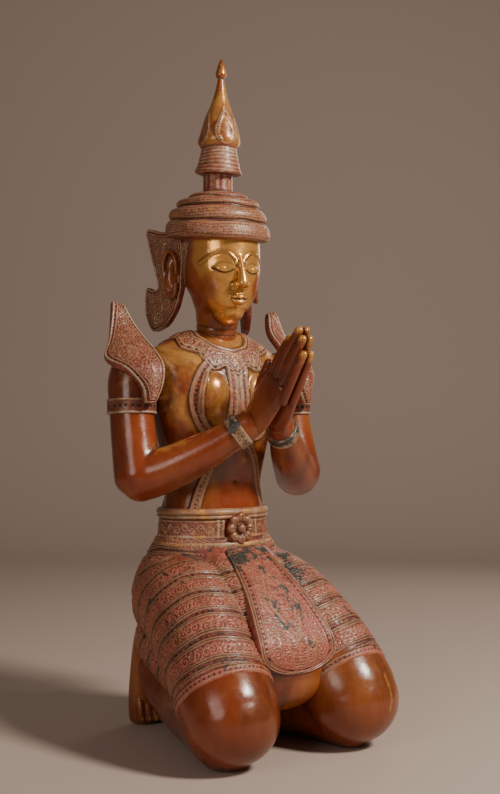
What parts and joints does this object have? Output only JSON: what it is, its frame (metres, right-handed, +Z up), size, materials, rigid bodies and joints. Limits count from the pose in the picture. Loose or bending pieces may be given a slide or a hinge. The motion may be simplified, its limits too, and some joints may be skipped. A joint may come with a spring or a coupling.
{
  "type": "kneeling praying figure statue",
  "caption": "Carved wooden theppanom, a crowned celestial figure kneeling with palms joined, in worn red lacquer and gold leaf.",
  "frame": {"origin": "centre of the overall box on the floor plane under the figure", "axes": "+Z up along the body and crown; the figure faces -Y; its own left is +X"},
  "size_m": [0.336, 0.3429, 0.911],
  "materials": {
    "lacquered_wood": "worn red-brown lacquer with gold leaf, satin to gloss"
  },
  "bodies": {
    "root": {"figure": "lacquered_wood"}
  },
  "joints": []
}
